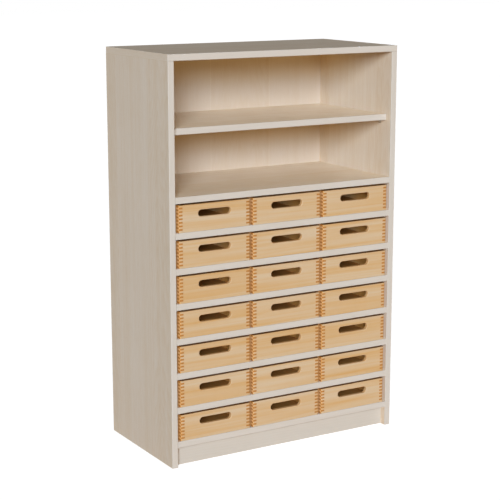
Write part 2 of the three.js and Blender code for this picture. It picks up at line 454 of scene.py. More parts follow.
# %% [markdown]
# Helpers for finishes.
#
# A finish is a Principled BSDF whose colour, roughness and bump come from the groups. Numbers that are the
# same all over stay on the shader's own sockets. A placed group gives its masks by name, and a recipe is a
# table of weights for those names, so that a finish can be read and changed without following any wires.

# %% Helpers for materials
MIX_SHARE, MIX_FIRST, MIX_SECOND, MIX_RESULT = 0, 6, 7, 2


def start_finish(name, constants):
    material = bpy.data.materials.new(name)
    material.use_nodes = True
    tree = material.node_tree
    tree.nodes.clear()
    shader = add(tree, "ShaderNodeBsdfPrincipled", constants)
    add(tree, "ShaderNodeOutputMaterial", {"Surface": shader.outputs[0]})
    return material, tree, shader.inputs


def place_group(tree, group, values):
    placed = add(tree, "ShaderNodeGroup", values, node_tree=group)
    return {socket.name: socket for socket in placed.outputs}


def blend(tree, share, first, second, kind="MIX"):
    values = {MIX_SHARE: share, MIX_FIRST: first, MIX_SECOND: second}
    mix = add(tree, "ShaderNodeMix", values, data_type="RGBA", blend_type=kind)
    return mix.outputs[MIX_RESULT]


def weigh(tree, masks, weights, start=0.0):
    total = start
    for name, weight in weights.items():
        total = add_scaled(tree, masks[name], weight, total)
    return total


def finish_surface(tree, shader, color, roughness, height, depth):
    tree.links.new(color, shader["Base Color"])
    tree.links.new(roughness, shader["Roughness"])
    bump = add(tree, "ShaderNodeBump", {"Height": height, "Distance": depth, "Strength": 1.0}).outputs[0]
    tree.links.new(bump, shader["Normal"])


print("finish helpers ready")


# %% Helpers for wood finishes
def read_grain(tree):
    return add(tree, "ShaderNodeAttribute", attribute_name="grain").outputs["Vector"]


def wood_masks(tree, grain, wood, marks):
    pattern = place_group(tree, wood_group, {"Grain": grain, **wood})
    return {**pattern, **place_group(tree, handling_group, marks)}


def make_wood(name, tones, gloss, wood, marks, figure, start, height, bump):
    material, tree, shader = start_finish(name, {"Specular IOR Level": gloss})
    masks = wood_masks(tree, read_grain(tree), wood, marks)
    color = blend(tree, weigh(tree, masks, figure, start), *tones)
    finish_surface(tree, shader, color, masks["Roughness"], weigh(tree, masks, height), bump)
    return material


print("wood helpers ready")

# %% [markdown]
# The decor board.
#
# The cabinet is chipboard faced with a pale birch decor. Its figure is quiet: long and short streaks along
# the grain, broad faint arches and a rare pin knot. A scanned picture could give that, but a picture would
# repeat, so the wood group mixes it, stretched noises draw the streaks, and a sparse pattern of cells sets
# the pin knots.

# %% Streaks, knots and painted shade in the decor
LONG_STREAKS = {"stretch": (0.5, 30.0, 30.0), "detail": 4.0, "roughness": 0.6}
SHORT_STREAKS = {"stretch": (26.0, 230.0, 230.0), "detail": 4.0, "roughness": 0.6}
KNOT_STRETCH = (4.2, 7.0, 7.0)
KNOT_CHOICE = (0.62, 0.64)
KNOT_LIMITS = (0.030, 0.008)


def pin_knots(tree, grain):
    place = calc_vector(tree, "MULTIPLY", grain, KNOT_STRETCH)
    cell = add(tree, "ShaderNodeTexVoronoi", {"Vector": place, "Scale": 1.0}).outputs
    chosen = step_between(tree, cell["Color"], *KNOT_CHOICE)
    return both(tree, chosen, step_between(tree, cell["Distance"], *KNOT_LIMITS))


def read_painted_shade(tree):
    front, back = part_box("fixed_shelf")[0][Y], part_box("back_panel")[0][Y]
    upper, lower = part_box("top_panel")[0][Z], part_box("loose_shelf")[0][Z]
    values = {"Upper Ceiling": upper, "Lower Ceiling": lower, "Front": front, "Back": back}
    return place_group(tree, painted_shade_group, values)


print("waves to the metre across the streaks:", LONG_STREAKS["stretch"][Y], SHORT_STREAKS["stretch"][Y])

# %% [markdown]
# Tones of the decor.
#
# Where the decor is dark it turns yellow rather than grey, so each finish blends a pale and a darker tone
# by one figure. Each place has its own pair. The walls and the back inside the open bays are yellower, as
# painted warm shade for the light bounced between the boards, with more painted shade at the top. The
# shelves are rubbed to a sheen by what slides on them. The top is dull with dust, and its darker pair is
# painted shade for the low light on it. One material for all would be shorter, but then the light alone
# would have to tell these boards apart.

# %% Recipe of the decor
LEAF_WIDTH = 215.0 * MM
DECOR_WOOD = {"Ring Width": 10.0 * MM, "Sharpness": 1.6}
DECOR_MARKS = {"Amount": 0.14, "Scale": 7.0}
WAVINESS_STRAIGHT_FLAT = (0.015, 0.065)
TAPER_STRAIGHT_FLAT = (0.01, 0.13)
RINGS_STRAIGHT_FLAT = (0.10, 0.38)
DECOR_FIGURE = {
    "Rings": 1.0,
    "Long Streaks": 1.5,
    "Short Streaks": 0.9,
    "Fibres": 0.40,
    "Flecks": 0.20,
    "Tone": 0.14,
    "Flat": 0.10,
    "Patch": 0.06,
}
DECOR_START = -1.17
DECOR_HEIGHT = {"Fibres": 1.0, "Flecks": -0.8}
DECOR_BUMP = 0.04 * MM
SEAM_TONE = (0.825, 0.715, 0.600, 1.0)
SEAM_SHARE = 0.4
KNOT_TONE = (0.40, 0.25, 0.13, 1.0)
KNOT_SHARE = 0.35
# Tints of the painted shade in the upper and the lower bay.
UPPER_SHADE = (1.22, 1.08, 0.72, 1.0)
LOWER_SHADE = (0.96, 0.78, 0.44, 1.0)
SHEEN_TINT = (1.0, 0.72, 0.46, 1.0)
SHEEN_ROUGHNESS = 0.4


def decor_masks(tree, roughness):
    leaf = place_group(tree, leaf_group, {"Grain": read_grain(tree), "Leaf Width": LEAF_WIDTH})
    grain, flat = leaf["Grain"], leaf["Flat"]
    waviness = mix_values(tree, flat, *WAVINESS_STRAIGHT_FLAT)
    taper = mix_values(tree, flat, *TAPER_STRAIGHT_FLAT)
    wood = {"Waviness": waviness, "Taper": taper, **DECOR_WOOD}
    masks = {**leaf, **wood_masks(tree, grain, wood, {"Base": roughness, **DECOR_MARKS})}
    masks["Rings"] = both(tree, masks["Rings"], mix_values(tree, flat, *RINGS_STRAIGHT_FLAT))
    masks["Long Streaks"] = stretched_noise(tree, grain, **LONG_STREAKS)[0]
    masks["Short Streaks"] = stretched_noise(tree, grain, **SHORT_STREAKS)[0]
    masks["Knots"] = pin_knots(tree, grain)
    return masks


print("decor leaf in mm:", LEAF_WIDTH / MM)

# %% Decor faces
DECOR_TONES = ((0.795, 0.708, 0.606, 1.0), (0.730, 0.598, 0.446, 1.0))
# The wall and back pairs are yellower as painted warm shade, for light bounced inside the bays.
WALL_TONES = ((0.845, 0.712, 0.572, 1.0), (0.776, 0.602, 0.424, 1.0))
BACK_TONES = ((0.755, 0.633, 0.519, 1.0), (0.722, 0.580, 0.439, 1.0))
SHELF_TONES = ((0.774, 0.673, 0.557, 1.0), (0.712, 0.573, 0.407, 1.0))
# The top's darker pair is painted shade, for the low light on the top; dust makes it matt.
DUST_AND_SHADE_TONES = ((0.635, 0.556, 0.474, 1.0), (0.588, 0.487, 0.381, 1.0))


def make_decor(name, tones, gloss, roughness, sheen=0.0, painted_shade=False):
    constants = {
        "Specular IOR Level": gloss,
        "Sheen Weight": sheen,
        "Sheen Roughness": SHEEN_ROUGHNESS,
        "Sheen Tint": SHEEN_TINT,
    }
    material, tree, shader = start_finish(name, constants)
    masks = decor_masks(tree, roughness)
    color = blend(tree, weigh(tree, masks, DECOR_FIGURE, DECOR_START), *tones)
    color = blend(tree, calc(tree, "MULTIPLY", masks["Seam"], SEAM_SHARE), color, SEAM_TONE)
    color = blend(tree, calc(tree, "MULTIPLY", masks["Knots"], KNOT_SHARE), color, KNOT_TONE)
    # Painted shade: a warm tint under the board above, deepest at the back of a bay.
    if painted_shade:
        corner = read_painted_shade(tree)
        shade = blend(tree, corner["Upper Bay"], LOWER_SHADE, UPPER_SHADE)
        color = blend(tree, corner["Painted Shade"], color, shade, "MULTIPLY")
    height = weigh(tree, masks, DECOR_HEIGHT)
    finish_surface(tree, shader, color, masks["Roughness"], height, DECOR_BUMP)
    return material


decor = make_decor("birch_decor", DECOR_TONES, gloss=0.04, roughness=0.52)
decor_wall = make_decor("birch_decor_wall", WALL_TONES, gloss=0.04, roughness=0.52, painted_shade=True)
decor_back = make_decor("birch_decor_back", BACK_TONES, gloss=0.04, roughness=0.52, painted_shade=True)
decor_polished = make_decor("birch_decor_polished", SHELF_TONES, gloss=0.30, roughness=0.36, sheen=0.26)
# The top is matt from dust, and its darker tones are painted shade.
decor_dust_and_shade = make_decor("birch_decor_dust_and_shade", DUST_AND_SHADE_TONES, gloss=0.0, roughness=0.62)
print("finishes:", decor.name, decor_wall.name, decor_back.name, decor_polished.name, decor_dust_and_shade.name)

# %% [markdown]
# Edge bands.
#
# The edges that show are closed with thin bands in the same birch, a little greyer and without leaves,
# since a band is one narrow strip. The plinth's face has the same quiet figure in a darker pair of tones.
# The decor recipe would do here too, but its broad arches can't be told on a strip as wide as a finger.

# %% Bands and plinth
BAND_TONES = ((0.708, 0.648, 0.585, 1.0), (0.652, 0.576, 0.487, 1.0))
PLINTH_TONES = ((0.668, 0.620, 0.556, 1.0), (0.618, 0.551, 0.463, 1.0))
BAND_RECIPE = {
    "gloss": 0.05,
    "wood": {"Ring Width": 8.0 * MM, "Waviness": 0.02, "Taper": 0.02, "Sharpness": 1.4},
    "marks": {"Base": 0.48, "Amount": 0.14, "Scale": 9.0},
    "figure": {"Rings": 0.3, "Fibres": 0.5, "Clouds": 0.4, "Patch": 0.1},
    "start": -0.1,
    "height": {"Fibres": 1.0, "Flecks": -0.5},
    "bump": 0.04 * MM,
}

band = make_wood("birch_edge_band", BAND_TONES, **BAND_RECIPE)
plinth_face = make_wood("birch_plinth", PLINTH_TONES, **BAND_RECIPE)
print("finishes:", band.name, plinth_face.name)

# %% [markdown]
# The glue line.
#
# Where the edge band meets the board, the amber glue shows as a hairline. It could be left out, being so
# thin, but without it the edges look painted on, so each band gets its own thin strip behind it.

# %% Glue line
GLUE_TONES = ((0.74, 0.60, 0.38, 1.0), (0.62, 0.46, 0.25, 1.0))
GLUE_RECIPE = {
    "gloss": 0.1,
    "wood": {"Ring Width": 6.0 * MM, "Waviness": 0.02, "Taper": 0.02, "Sharpness": 1.5},
    "marks": {"Base": 0.5, "Amount": 0.2, "Scale": 30.0},
    "figure": {"Fibres": 0.6, "Clouds": 0.5},
    "start": 0.0,
    "height": {"Fibres": 0.6, "Clouds": 0.5},
    "bump": 0.05 * MM,
}

glue = make_wood("edge_glue", GLUE_TONES, **GLUE_RECIPE)
print("finish:", glue.name)

# %% [markdown]
# The pine of the trays.
#
# The trays are oiled softwood: honey-coloured early wood with warmer late wood in soft bands along each
# board, in the tones of the fronts. The other faces carry painted warm shade in amber tones: the insides,
# deepest near the front behind the grip slot, and the outer sides, which lie in shade between two trays,
# nearly as deep. Rims carry painted shade too, for the dark gap under the shelf above, darkest on the front.
# Where a finger's end shows, the cut fibres drink the oil and turn a deep orange brown, and on the shaded
# faces this end grain also takes one flat deep tone as painted shade.
#
# Five attributes tell the places apart: grain, end_grain (1 on cut ends), the amber shade mask (0 on the
# front, 1 inside, where painted shade goes), rise (0 at the lower edge, 1 at the rim) and behind (metres
# behind the tray's front). Separate materials could do that as well, but they would meet in hard lines. The
# same recipe with other values makes the rubbed edges, which hands have made a little paler and smoother.

# %% Tones of the pine
FRONT_TONES = ((0.688, 0.514, 0.332, 1.0), (0.660, 0.373, 0.131, 1.0))
# The front pair is the pine's own colour; the amber and front-inner pairs are painted warm shade.
AMBER_TONES = ((0.835, 0.545, 0.265, 1.0), (0.765, 0.425, 0.150, 1.0))
FRONT_INNER_SHADE_TONES = ((0.950, 0.490, 0.135, 1.0), (0.880, 0.380, 0.065, 1.0))
# Painted shade on the outer sides, between two trays.
BETWEEN_TRAYS_SHADE_TONES = ((0.820, 0.525, 0.240, 1.0), (0.750, 0.410, 0.130, 1.0))
END_TONES = ((0.600, 0.270, 0.072, 1.0), (0.460, 0.180, 0.038, 1.0))
END_DEEP = (0.500, 0.210, 0.052, 1.0)
# Painted shade on the rims, for the dark gap under the shelf above.
RIM_SHADE_TONE = (0.170, 0.064, 0.016, 1.0)
RUBBED_TONE = (0.735, 0.525, 0.315, 1.0)
SIDE_AMBER = 0.5
SLOT_AMBER = 0.45
BETWEEN_TRAYS_SHADE_REACH = (13.5 * MM, 18.0 * MM)
INNER_SHADE_REACH = (220.0 * MM, 100.0 * MM)


def read_mask(tree, name):
    return add(tree, "ShaderNodeAttribute", attribute_name=name).outputs["Fac"]


def pine_face(tree, figure, amber, behind):
    front = blend(tree, figure, *FRONT_TONES)
    inside = blend(tree, figure, *AMBER_TONES)
    # Painted warm shade inside the tray, deepest near the front behind the grip slot.
    front_inner_shade = blend(tree, figure, *FRONT_INNER_SHADE_TONES)
    between_trays_shade = blend(tree, figure, *BETWEEN_TRAYS_SHADE_TONES)
    inside = blend(tree, step_between(tree, behind, *INNER_SHADE_REACH), inside, front_inner_shade)
    outer_side = calc(tree, "DIVIDE", calc(tree, "PINGPONG", amber, SIDE_AMBER), SIDE_AMBER)
    # Painted shade on the outer sides beyond the finger joints, where the next tray shades them.
    between_trays_shade_share = both(tree, step_between(tree, behind, *BETWEEN_TRAYS_SHADE_REACH), outer_side)
    return blend(tree, between_trays_shade_share, blend(tree, amber, front, inside), between_trays_shade)


print("paled front, pale tone:", FRONT_TONES[0][:3])

# %% Pine
PINE_GLOSS = 0.1
PINE_WOOD = {"Ring Width": 6.0 * MM, "Waviness": 0.006, "Taper": 0.004, "Sharpness": 1.8}
PINE_MARKS = {"Amount": 0.16, "Scale": 22.0}
PINE_FIGURE = {"Clouds": 1.9, "Rings": 0.35, "Fibres": 0.2, "Flecks": 0.1}
PINE_START = -0.75
PINE_HEIGHT = {"Fibres": 1.0, "Rings": 0.6, "Flecks": -0.6}
PINE_BUMP = 0.09 * MM
END_FIGURE = {"Rings": 0.7, "Fibres": 0.5, "Clouds": 0.3}
RIM_RISE = (0.980, 0.992)
RIM_REACH = (20.0 * MM, 13.0 * MM)
SIDE_RIM_SHARE = 0.38
FRONT_RIM_SHARE = 0.90


def make_pine(name, roughness, rubbed):
    material, tree, shader = start_finish(name, {"Specular IOR Level": PINE_GLOSS})
    masks = wood_masks(tree, read_grain(tree), PINE_WOOD, {"Base": roughness, **PINE_MARKS})
    amber, behind = read_mask(tree, "amber"), read_mask(tree, "behind")
    face = pine_face(tree, weigh(tree, masks, PINE_FIGURE, PINE_START), amber, behind)
    # Painted shade on the rims, darkest on the front board under the shelf edge.
    at_rim = step_between(tree, read_mask(tree, "rise"), *RIM_RISE)
    at_front = step_between(tree, behind, *RIM_REACH)
    rim_shade_share = both(tree, at_rim, mix_values(tree, at_front, SIDE_RIM_SHARE, FRONT_RIM_SHARE))
    face = blend(tree, rim_shade_share, face, RIM_SHADE_TONE)
    face = blend(tree, calc(tree, "MULTIPLY", masks["Patch"], rubbed), face, RUBBED_TONE)
    end = blend(tree, weigh(tree, masks, END_FIGURE), *END_TONES)
    # End grain on shaded faces: its real deep tone, flattened further as painted shade.
    end = blend(tree, amber, end, END_DEEP)
    color = blend(tree, read_mask(tree, "end_grain"), face, end)
    height = weigh(tree, masks, PINE_HEIGHT)
    finish_surface(tree, shader, color, masks["Roughness"], height, PINE_BUMP)
    return material


pine = make_pine("oiled_pine", roughness=0.52, rubbed=0.06)
pine_rubbed = make_pine("oiled_pine_rubbed", roughness=0.42, rubbed=0.55)
print("finishes:", pine.name, pine_rubbed.name)

# %% [markdown]
# Plywood.
#
# The tray bottoms are thin plywood, oiled like the boards. Its face is peeled from the log like a roll of
# paper, so the rings run wide and wavy. The plain wood recipe gives that with a larger ring width and sway.

# %% Plywood
PLYWOOD_TONES = ((0.76, 0.390, 0.115, 1.0), (0.61, 0.262, 0.060, 1.0))
PLYWOOD_RECIPE = {
    "gloss": 0.1,
    "wood": {"Ring Width": 9.0 * MM, "Waviness": 0.03, "Taper": 0.05, "Sharpness": 1.6},
    "marks": {"Base": 0.58, "Amount": 0.16, "Scale": 12.0},
    "figure": {"Rings": 0.4, "Fibres": 0.45, "Clouds": 0.4, "Flecks": 0.3},
    "start": 0.0,
    "height": {"Fibres": 1.0},
    "bump": 0.06 * MM,
}

plywood = make_wood("oiled_plywood", PLYWOOD_TONES, **PLYWOOD_RECIPE)
print("finish:", plywood.name)

# %% [markdown]
# Plated steel.
#
# The shelf supports are nickel-plated steel and the screws are zinc-plated. Both need a metal base, small
# scratches and duller patches, so one recipe makes the two. A plain metal colour would be enough from far
# away, but a clean mirror on such small parts only flickers.

# %% Nickel and zinc
NICKEL_TONES = ((0.66, 0.63, 0.57, 1.0), (0.50, 0.48, 0.44, 1.0))
ZINC_TONES = ((0.60, 0.61, 0.62, 1.0), (0.42, 0.43, 0.45, 1.0))
SCRATCHES = {"stretch": (3000.0, 260.0, 3000.0), "detail": 2.0}
STEEL_MARKS = {"Amount": 0.2, "Scale": 260.0}
STEEL_FIGURE = {"Patch": 0.5, "Scratches": 0.6}
STEEL_START = -0.2
STEEL_BUMP = 0.02 * MM


def make_steel(name, tones, roughness):
    material, tree, shader = start_finish(name, {"Metallic": 1.0})
    masks = place_group(tree, handling_group, {"Base": roughness, **STEEL_MARKS})
    masks["Scratches"] = stretched_noise(tree, object_place(tree), **SCRATCHES)[0]
    color = blend(tree, weigh(tree, masks, STEEL_FIGURE, STEEL_START), *tones)
    finish_surface(tree, shader, color, masks["Roughness"], masks["Scratches"], STEEL_BUMP)
    return material


nickel = make_steel("plated_nickel", NICKEL_TONES, roughness=0.30)
zinc = make_steel("plated_zinc", ZINC_TONES, roughness=0.36)
print("finishes:", nickel.name, zinc.name)

# %% [markdown]
# How a board is made up.
#
# A cabinet board is a core with a band of edging on each edge that shows, and a hairline of glue between
# them. A plain box with one material would miss that, so each board is built from a few closed blocks: the
# core with barely eased corners, the glue strip, and the band with its long outer corners rounded for
# children's hands. A store collects the blocks' points, faces, finishes and grain until the board is
# complete.

# %% Blocks and stores
EASE = 0.3 * MM
EASE_STEPS = 2
ROUND_PROFILE = 0.5


def block(low, high):
    shape = bmesh.new()
    bmesh.ops.create_cube(shape, size=1.0)
    for point in shape.verts:
        point.co = [low[k] + (point.co[k] + 0.5) * (high[k] - low[k]) for k in (X, Y, Z)]
    return shape


def ease(shape, size, steps, wanted=None):
    edges = [edge for edge in shape.edges if wanted is None or wanted(edge)]
    shaping = {"profile": ROUND_PROFILE, "affect": "EDGES", "clamp_overlap": True}
    bmesh.ops.bevel(shape, geom=edges, offset=size, segments=steps, **shaping)
    return shape


def new_store():
    return {"points": [], "faces": [], "finish": [], "grain": []}


def keep(store, shape, finish, in_log=tuple):
    start = len(store["points"])
    shape.verts.index_update()
    for point in shape.verts:
        store["points"].append(tuple(point.co))
        store["grain"].append(in_log(point.co))
    shape.normal_update()
    for face in shape.faces:
        store["faces"].append([start + point.index for point in face.verts])
        store["finish"].append(finish(face) if callable(finish) else finish)
    shape.free()


print("eased corner in mm:", EASE / MM)

# %% [markdown]
# A board's place in its log.
#
# Each board is cut from its own log: some way along it, some way beside the heart and some way above it.
# Drawing that place at random makes each board's figure its own. A fixed seed draws the same places on
# every run, so the picture doesn't change from one render to the next.

# %% Cut a board from a log
BOARD_SEED = 11
LOG_LENGTH = 9.0
BURY_RANGE = (0.8, 1.4)
board_random = random.Random(BOARD_SEED)


def third_axis(first, second):
    return X + Y + Z - first - second


def log_place(low, high, along, across, spread, bury, aside=None):
    deep = third_axis(along, across)
    middle = (Vector(low) + Vector(high)) / 2
    slide = board_random.uniform(0.0, LOG_LENGTH)
    aside = board_random.uniform(-spread, spread) if aside is None else aside
    below = bury * board_random.uniform(*BURY_RANGE)
    return lambda point: (
        point[along] + slide,
        point[across] - middle[across] + aside,
        point[deep] - middle[deep] + below,
    )


print("log length in m:", LOG_LENGTH)

# %% [markdown]
# From a store to a piece.
#
# A finished piece is one plain mesh at the origin, with its place in its points and its finishes in
# material slots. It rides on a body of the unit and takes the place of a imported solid. Where a board needs
# a long notch, a Boolean modifier cuts it. Faces could be joined up by hand round the notch, but the
# modifier keeps the eased corners as well.

# %% Make a piece
def show_piece(name, mesh, nodes, body):
    mesh.update()
    piece = bpy.data.objects.new(name, mesh)
    bpy.context.scene.collection.objects.link(piece)
    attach(piece, body)
    if nodes:
        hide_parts(*nodes)
    return piece


def make_piece(name, store, finishes, nodes, body):
    mesh = bpy.data.meshes.new(name)
    mesh.from_pydata(store["points"], [], store["faces"])
    for finish in finishes:
        mesh.materials.append(finish)
    mesh.polygons.foreach_set("material_index", store["finish"])
    mesh.attributes.new("grain", "FLOAT_VECTOR", "POINT")
    mesh.attributes["grain"].data.foreach_set("vector", np.ravel(store["grain"]))
    return show_piece(name, mesh, nodes, body)


print("piece helpers ready")


# %% Carve a notch
def plain_object(shape):
    mesh = bpy.data.meshes.new("temporary")
    shape.to_mesh(mesh)
    shape.free()
    made = bpy.data.objects.new("temporary", mesh)
    bpy.context.scene.collection.objects.link(made)
    return made


def remove_object(made):
    mesh = made.data
    bpy.data.objects.remove(made)
    bpy.data.meshes.remove(mesh)


def carve(shape, low, high):
    body = plain_object(shape)
    cutter = plain_object(block(low, high))
    cut = body.modifiers.new("cut", "BOOLEAN")
    cut.object = cutter
    cut.operation = "DIFFERENCE"
    cut.solver = "EXACT"
    evaluated = body.evaluated_get(bpy.context.evaluated_depsgraph_get())
    result = bmesh.new()
    result.from_mesh(evaluated.to_mesh())
    evaluated.to_mesh_clear()
    remove_object(body)
    remove_object(cutter)
    return result


print("carving ready")

# %% [markdown]
# Bands round a core.
#
# Each edge that gets a band is named by its axis and its end. The band takes its thickness from the core,
# the glue strip takes its hairline, and what is left is the core. Where a band rests on the board below, as
# on the ends of the top, that corner stays square. A board has up to four finishes: its faces, its bands,
# its glue, and one more for the inner face of a side or the end bands of the top.

# %% One band
BAND = 2.0 * MM
GLUE = 0.4 * MM
BAND_ROUND = 1.6 * MM
ROUND_STEPS = 4
BAND_SPREAD = 20.0 * MM
BAND_BURY = 30.0 * MM
TOUCHING = 0.001 * MM
LOW_END, HIGH_END = 0, 1
FRONT = (Y, LOW_END)
FACE_FINISH, BAND_FINISH, GLUE_FINISH, EXTRA_FINISH = 0, 1, 2, 3


def slice_end(low, high, axis, end, thickness):
    slice_low, slice_high = Vector(low), Vector(high)
    if end == LOW_END:
        slice_high[axis] = low[axis] + thickness
        low[axis] += thickness
    else:
        slice_low[axis] = high[axis] - thickness
        high[axis] -= thickness
    return slice_low, slice_high


def add_band(store, low, high, axis, end, whole, finish):
    band_low, band_high = slice_end(low, high, axis, end, BAND)
    size = band_high - band_low
    long_axis = max((k for k in (X, Y, Z) if k != axis), key=lambda k: size[k])
    outer = (band_low, band_high)[end][axis]

    def rounded(edge):
        outside = all(abs(point.co[axis] - outer) < TOUCHING for point in edge.verts)
        lengthwise = abs(edge.verts[0].co[long_axis] - edge.verts[1].co[long_axis]) > TOUCHING
        resting = axis == X and all(point.co[Z] < band_low[Z] + TOUCHING for point in edge.verts)
        return outside and (lengthwise or whole) and not resting

    short_axis = third_axis(axis, long_axis)
    in_log = log_place(band_low, band_high, long_axis, short_axis, BAND_SPREAD, BAND_BURY)
    shape = ease(block(band_low, band_high), BAND_ROUND, ROUND_STEPS, rounded)
    keep(store, shape, finish, in_log)
    keep(store, block(*slice_end(low, high, axis, end, GLUE)), GLUE_FINISH, in_log)


print("band, glue and round in mm:", BAND / MM, GLUE / MM, BAND_ROUND / MM)

# %% Banded boards
BOARD_SPREAD = 120.0 * MM
BOARD_BURY = 60.0 * MM
FACE_ON = 0.9


def banded_board(
    node, low, high, grain, finishes, bands=(FRONT,), rebate=None, joint=False, inward=0, aside=None
):
    store = new_store()
    low, high = Vector(low), Vector(high)
    in_log = log_place(low, high, *grain, BOARD_SPREAD, BOARD_BURY, aside)

    def core_finish(face):
        return EXTRA_FINISH if face.normal[X] * inward > FACE_ON else FACE_FINISH

    for axis, end in bands:
        band_finish = EXTRA_FINISH if axis == X else BAND_FINISH
        add_band(store, low, high, axis, end, len(bands) > 1, band_finish)
    if joint:
        keep(store, block(*slice_end(low, high, Z, HIGH_END, GLUE)), GLUE_FINISH, in_log)
    core = ease(block(low, high), EASE, EASE_STEPS)
    if rebate:
        core = carve(core, *rebate)
    keep(store, core, core_finish, in_log)
    return make_piece(node + "_board", store, finishes, [node], "cabinet")


print("finishes on a board:", EXTRA_FINISH + 1)

# %% [markdown]
# Sides, top and back.
#
# Two sides stand on the floor and carry the top, which lies over them with a line of glue between. Each
# solid's box gives its place. The solids hold their dowels, which reach into the neighbours' bores, so a
# side's height comes from the underside of the top. The back lies in a rebate of all three: its inner face
# has the decor with painted shade, and the rest of it the plain one. The grain runs up the sides and the
# back, and from left to right on everything that lies flat.

# %% Make the sides, the top and the back
REBATE_PLAY = 0.5 * MM
REBATE_OVERCUT = 2.0 * MM
LEAF_START = 79.0 * MM
BACK_SPREAD = 200.0 * MM
BACK_BURY = 70.0 * MM
INNER_BACK, OUTER_BACK = 0, 1
left_low, left_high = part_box("left_side")
right_low, right_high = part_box("right_side")
top_low, top_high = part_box("top_panel")
back_low, back_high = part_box("back_panel")
inner_left, inner_right = left_high[X], right_low[X]


def rebate_box(floor, ceiling, rear):
    low = Vector((back_low[X] - REBATE_PLAY, back_low[Y], floor))
    high = Vector((back_high[X] + REBATE_PLAY, rear + REBATE_OVERCUT, ceiling))
    return low, high


def make_side(node, low, high):
    high = Vector((high[X], high[Y], top_low[Z]))
    settings = {
        "rebate": rebate_box(low[Z] - REBATE_OVERCUT, high[Z] + REBATE_OVERCUT, high[Y]),
        "joint": True,
        "inward": 1 if low[X] < 0 else -1,
        "aside": LEAF_START,
    }
    return banded_board(node, low, high, (Z, Y), (decor, band, glue, decor_wall), **settings)


def make_top():
    bands = (FRONT, (X, LOW_END), (X, HIGH_END))
    rebate = rebate_box(top_low[Z] - REBATE_OVERCUT, back_high[Z] + REBATE_PLAY, top_high[Y])
    finishes = (decor_dust_and_shade, band, glue, decor)
    return banded_board("top_panel", top_low, top_high, (X, Y), finishes, bands, rebate)


def back_finish(face):
    return INNER_BACK if face.normal[Y] < -FACE_ON else OUTER_BACK


def make_back():
    store = new_store()
    in_log = log_place(back_low, back_high, Z, X, BACK_SPREAD, BACK_BURY)
    keep(store, ease(block(back_low, back_high), EASE, EASE_STEPS), back_finish, in_log)
    finishes = (decor_back, decor)
    return make_piece("back_panel_board", store, finishes, ["back_panel"], "cabinet")


make_side("left_side", left_low, left_high)
make_side("right_side", right_low, right_high)
make_top()
make_back()
print("inside width in mm:", round((inner_right - inner_left) / MM, 1))

# %% [markdown]
# Shelves and plinth.
#
# The shelves and the plinth span the gap between the sides. A shelf's solid is longer by its dowels, so the
# board is trimmed to the gap, and the loose shelf, which has none, keeps its own length. Each shelf has a
# band at the front. The plinth stands back under the lowest shelf with no edge to show, so it has none.

# %% Make the shelves and the plinth
shelf_nodes = [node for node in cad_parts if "_shelf" in node]


def box_between_sides(node):
    low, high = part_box(node)
    low, high = Vector(low), Vector(high)
    low[X] = max(low[X], inner_left)
    high[X] = min(high[X], inner_right)
    return low, high


def make_shelf(node):
    return banded_board(node, *box_between_sides(node), (X, Y), (decor_polished, band, glue))


def make_plinth():
    return banded_board("plinth", *box_between_sides("plinth"), (X, Z), (plinth_face,), bands=())


for shelf_node in shelf_nodes:
    make_shelf(shelf_node)
make_plinth()
print("shelves:", len(shelf_nodes))

# %% [markdown]
# The tray's boards.
#
# A tray is four pine boards whose ends are cut into fingers that lock together. Its shape follows a rule,
# so Geometry Nodes build it: a board loses a row of notches at each end, the sides lose what the front and
# rear keep, and a rounded envelope trims the corners. The groove for the bottom is cut all round. Modelling
# each finger by hand would give the same look once, but the tree can be asked for another size or finger
# count.

# %% Geometry helpers
WELD = 0.02 * MM


def size_block(tree, x, y, z):
    return add(tree, "GeometryNodeMeshCube", {"Size": join_axes(tree, x, y, z)}).outputs["Mesh"]


def shift(tree, geometry, x=0.0, y=0.0, z=0.0):
    values = {"Geometry": geometry, "Translation": join_axes(tree, x, y, z)}
    return add(tree, "GeometryNodeTransform", values).outputs[0]


def cut_away(tree, body, cutters):
    values = {0: body, 1: cutters}
    return add(tree, "GeometryNodeMeshBoolean", values, operation="DIFFERENCE", solver="MANIFOLD").outputs[0]


def common_part(tree, first, second):
    values = {1: [first, second]}
    return add(tree, "GeometryNodeMeshBoolean", values, operation="INTERSECT", solver="MANIFOLD").outputs[0]


def rounded_slab(tree, width, height, radius, thickness, steps):
    sizes = {"Width": width, "Height": height}
    outline = add(tree, "GeometryNodeCurvePrimitiveQuadrilateral", sizes).outputs[0]
    corner = {"Curve": outline, "Radius": radius, "Count": steps}
    outline = add(tree, "GeometryNodeFilletCurve", corner, mode="POLY").outputs[0]
    sheet = add(tree, "GeometryNodeFillCurve", {"Curve": outline}, mode="NGONS").outputs[0]
    rise = {"Mesh": sheet, "Offset Scale": thickness, "Individual": False}
    wall = add(tree, "GeometryNodeExtrudeMesh", rise).outputs[0]
    under = add(tree, "GeometryNodeFlipFaces", {"Mesh": sheet}).outputs[0]
    closed = add(tree, "GeometryNodeJoinGeometry", {"Geometry": [wall, under]}).outputs[0]
    return add(tree, "GeometryNodeMergeByDistance", {"Geometry": closed, "Distance": WELD}).outputs[0]


print("geometry helpers ready")


